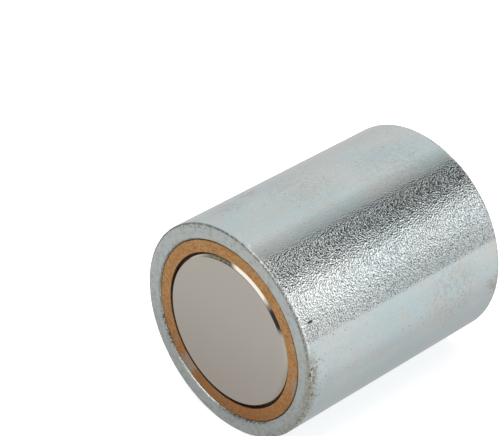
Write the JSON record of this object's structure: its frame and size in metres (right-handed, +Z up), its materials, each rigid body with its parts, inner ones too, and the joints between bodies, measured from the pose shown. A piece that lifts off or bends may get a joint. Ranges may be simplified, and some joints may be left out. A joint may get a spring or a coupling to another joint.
{
  "type": "deep pot holding magnet",
  "caption": "Cylindrical steel pot magnet with a plated disc magnet in a brass ring at one end and a blind threaded hole at the other.",
  "frame": {"origin": "centre of the holding face, on the pot's axis", "axes": "+Y along the pot's axis from the holding face to the threaded end, +Z up, so the pot lies on its side"},
  "size_m": [0.05, 0.06, 0.05],
  "materials": {
    "zinc_plated_steel": "satin, blue-passivated zinc plate with fine grain",
    "brass": "matte, tarnished orange-brown",
    "nickel_plate": "smooth semi-bright nickel plate",
    "cured_adhesive": "matte, dark brown cured epoxy"
  },
  "bodies": {
    "root": {"pot_body": "zinc_plated_steel", "brass_ring": "brass", "magnet_disc": "nickel_plate", "ring_adhesive": "cured_adhesive", "magnet_adhesive": "cured_adhesive"}
  },
  "joints": []
}
